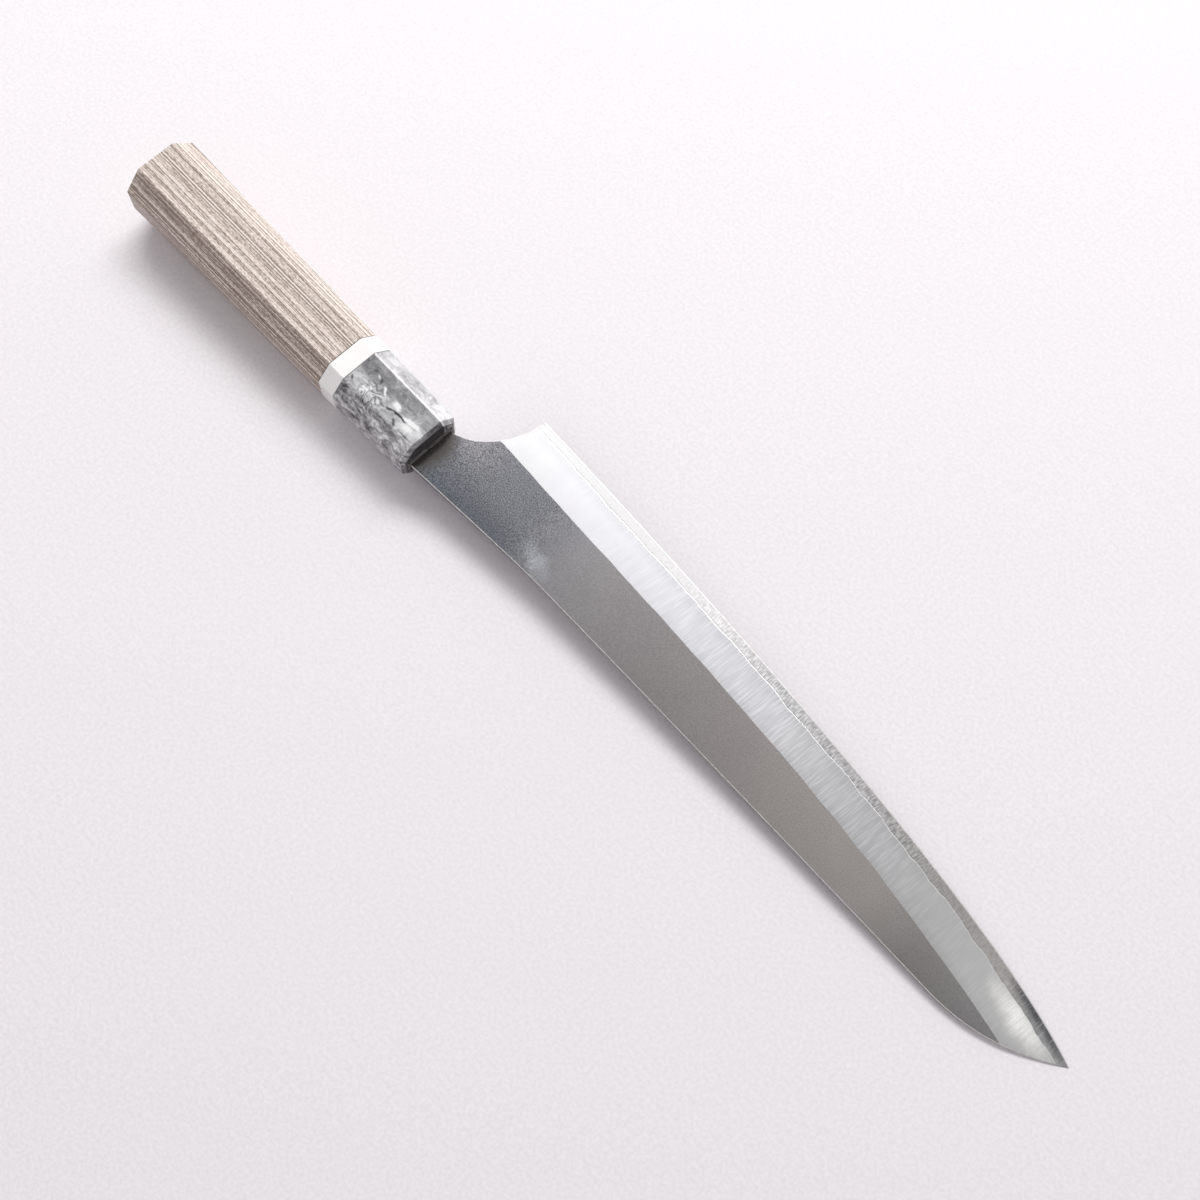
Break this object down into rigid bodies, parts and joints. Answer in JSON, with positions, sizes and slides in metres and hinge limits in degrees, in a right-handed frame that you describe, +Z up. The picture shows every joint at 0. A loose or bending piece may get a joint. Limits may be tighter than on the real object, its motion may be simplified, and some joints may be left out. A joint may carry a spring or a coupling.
{
  "type": "sujihiki slicing knife",
  "caption": "Long slim slicing knife with a laminated, wide-bevel blade, a curved drop to the point and an eight-sided wooden handle with a marbled ferrule and a white ring.",
  "frame": {"origin": "on the table, under the middle of the knife as it lies on its right side", "axes": "+X towards the point, +Y towards the cutting edge, +Z up out of the blade's left face; the knife leans on its ferrule and point, about 2 degrees point down"},
  "size_m": [0.3854, 0.0446, 0.0247],
  "materials": {
    "core_steel": "honed steel, scratched along the bevel",
    "cladding_left": "satin blasted flat, brushed bevel",
    "cladding_right": "satin blasted flat, brushed bevel",
    "ferrule": "polished, marbled greys",
    "spacer_ring": "polished white",
    "grip": "resin-laminated veneers, satin",
    "tang_dowel": "bare hardwood",
    "mouth_seal": "cured resin"
  },
  "bodies": {
    "root": {"core_steel": "core_steel", "cladding_left": "cladding_left", "cladding_right": "cladding_right", "ferrule": "ferrule", "spacer_ring": "spacer_ring", "grip": "grip", "tang_dowel": "tang_dowel", "mouth_seal": "mouth_seal"}
  },
  "joints": []
}
